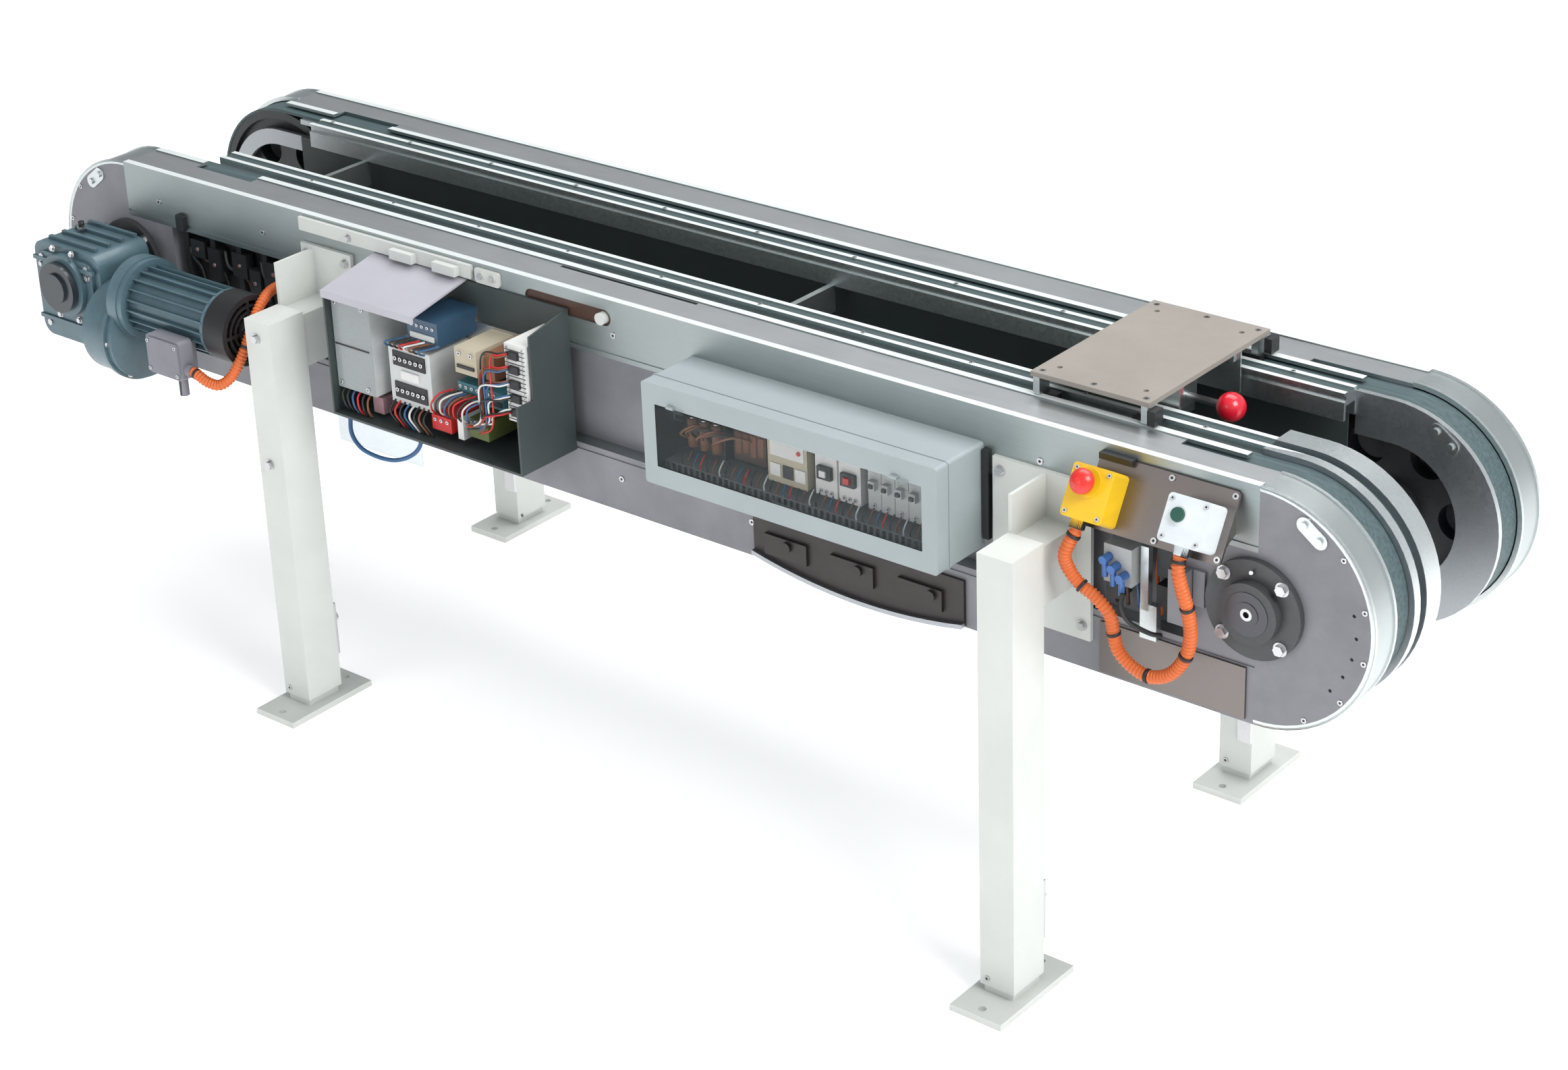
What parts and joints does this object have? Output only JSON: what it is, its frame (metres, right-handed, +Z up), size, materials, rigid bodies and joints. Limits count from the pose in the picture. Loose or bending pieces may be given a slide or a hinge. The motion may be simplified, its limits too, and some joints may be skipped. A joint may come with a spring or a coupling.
{
  "type": "belt conveyor section",
  "caption": "Twin-track belt conveyor section on legs, with gearmotor drive, control boxes and a sliding work carrier",
  "frame": {"origin": "on the floor, under the middle of the conveyor", "axes": "+X along the conveyor from the drive end to the tail end, +Y from the operator side to the far side, +Z up"},
  "size_m": [2.95, 1.014, 0.985],
  "materials": {
    "rail_aluminium": "anodised extrusion, satin, faint lines along the length",
    "bright_aluminium": "bright anodised aluminium, satin",
    "grey_paint": "fine-textured mid-grey powder coat",
    "belt_teal": "dark teal-grey belt cover with a fine fabric grain",
    "black_casting": "black painted castings, semi-gloss",
    "black_plastic": "black moulded plastic",
    "bright_steel": "zinc-plated steel",
    "dark_steel": "oiled dark steel",
    "white_paint": "off-white powder coat, light orange peel",
    "gearmotor_paint": "blue-grey gearmotor enamel over cast iron",
    "black_cover": "black pressed cover",
    "motor_box_grey": "mid-grey cast terminal box",
    "enclosure_grey": "light blue-grey powder coat",
    "clear_window": "clear acrylic window flap",
    "module_plastic": "beige, white and grey module housings",
    "dark_sheet": "dark grey-green sheet steel",
    "lid_lilac": "pale lilac-grey painted lid",
    "estop_yellow": "yellow moulded housing",
    "estop_red": "red mushroom head",
    "box_white": "pale grey moulded housing",
    "button_green": "dark green push-button cap",
    "switch_plate_grey": "brushed stainless plate",
    "fitting_blue": "blue push-in fittings on a grey block",
    "conduit_orange": "orange ribbed conduit",
    "cable_blue": "blue PVC cable",
    "carrier_brown": "warm grey-brown coated plate",
    "knob_red": "red ball knob on a steel rod"
  },
  "bodies": {
    "frame": {"near_rails": "rail_aluminium", "far_rails": "rail_aluminium", "near_web_panel": "grey_paint", "far_web_panel": "grey_paint", "near_end_discs": "grey_paint", "far_end_discs": "grey_paint", "near_end_rims": "bright_aluminium", "far_end_rims": "bright_aluminium", "near_inner_guide": "bright_aluminium", "far_inner_guide": "bright_aluminium", "slider_beds": "rail_aluminium", "near_belt": "belt_teal", "far_belt": "belt_teal", "end_blocks": "grey_paint", "bearing_housings": "black_casting", "bearing_inserts": "bright_steel", "bearing_bolts": "bright_steel", "screw_plates": "bright_aluminium", "cross_beams": "rail_aluminium", "channel_ties": "rail_aluminium", "near_left_leg": "white_paint", "near_right_leg": "white_paint", "far_left_leg": "white_paint", "far_right_leg": "white_paint", "feet": "white_paint", "leg_brackets": "white_paint", "leg_bolts": "bright_steel", "gearbox_housing": "gearmotor_paint", "gearbox_cover": "black_cover", "gearbox_adapter": "gearmotor_paint", "motor_housing": "gearmotor_paint", "fan_cover": "black_plastic", "motor_terminal_box": "motor_box_grey", "drive_brackets": "black_casting", "enclosure_shell": "enclosure_grey", "enclosure_modules": "module_plastic", "terminal_box": "dark_sheet", "terminal_lid": "lid_lilac", "terminal_parts": "module_plastic", "box_bracket": "white_paint", "estop_box": "estop_yellow", "start_box": "box_white", "switch_plate": "switch_plate_grey", "air_fittings": "fitting_blue", "orange_conduit": "conduit_orange", "motor_cable": "conduit_orange", "blue_loop": "cable_blue", "tensioner": "dark_sheet"},
    "drive_axle": {"drive_shaft": "dark_steel", "drive_pulleys": "black_casting"},
    "tail_axle": {"tail_shaft": "dark_steel", "tail_pulleys": "black_casting"},
    "rotor": {"motor_rotor": "bright_steel"},
    "window": {"enclosure_window": "clear_window"},
    "estop_plunger": {"estop_stem": "black_plastic"},
    "estop_head": {"estop_mushroom": "estop_red"},
    "start_cap": {"start_button": "button_green"},
    "carrier": {"carrier_plate": "carrier_brown", "carrier_frame": "bright_aluminium"},
    "latch": {"latch_knob": "knob_red"}
  },
  "joints": [
    {"name": "drive_spin", "type": "hinge", "parent": "frame", "child": "drive_axle", "pos_m": [-1.275, 0, 0.746], "axis": [0, 1, 0], "continuous": true},
    {"name": "tail_spin", "type": "hinge", "parent": "frame", "child": "tail_axle", "pos_m": [1.275, 0, 0.746], "axis": [0, 1, 0], "continuous": true},
    {"name": "rotor_spin", "type": "hinge", "parent": "frame", "child": "rotor", "pos_m": [-0.96, -0.392, 0.748], "axis": [1, 0, 0], "continuous": true},
    {"name": "window_hinge", "type": "hinge", "parent": "frame", "child": "window", "pos_m": [0.474, -0.3905, 0.853], "axis": [-1, 0, 0], "range_deg": [0, 110]},
    {"name": "estop_push", "type": "slide", "parent": "frame", "child": "estop_plunger", "axis": [0, 0.866, -0.5], "range_m": [0, 0.006]},
    {"name": "estop_twist", "type": "hinge", "parent": "estop_plunger", "child": "estop_head", "pos_m": [1.019, -0.34433, 0.91603], "axis": [0, -0.866, 0.5], "range_deg": [-45, 0], "stiffness_Nm_per_rad": 0.1},
    {"name": "start_push", "type": "slide", "parent": "frame", "child": "start_cap", "axis": [0, 0.866, -0.5], "range_m": [0, 0.004], "stiffness_N_per_m": 800},
    {"name": "carrier_slide", "type": "slide", "parent": "frame", "child": "carrier", "axis": [1, 0, 0], "range_m": [-2.05, 0.17]},
    {"name": "latch_pull", "type": "slide", "parent": "carrier", "child": "latch", "axis": [1, 0, 0], "range_m": [0, 0.012], "stiffness_N_per_m": 500}
  ],
  "couplings": [
    {"joint": "tail_spin", "follows": "drive_spin", "ratio": 1},
    {"joint": "rotor_spin", "follows": "drive_spin", "ratio": 18}
  ]
}
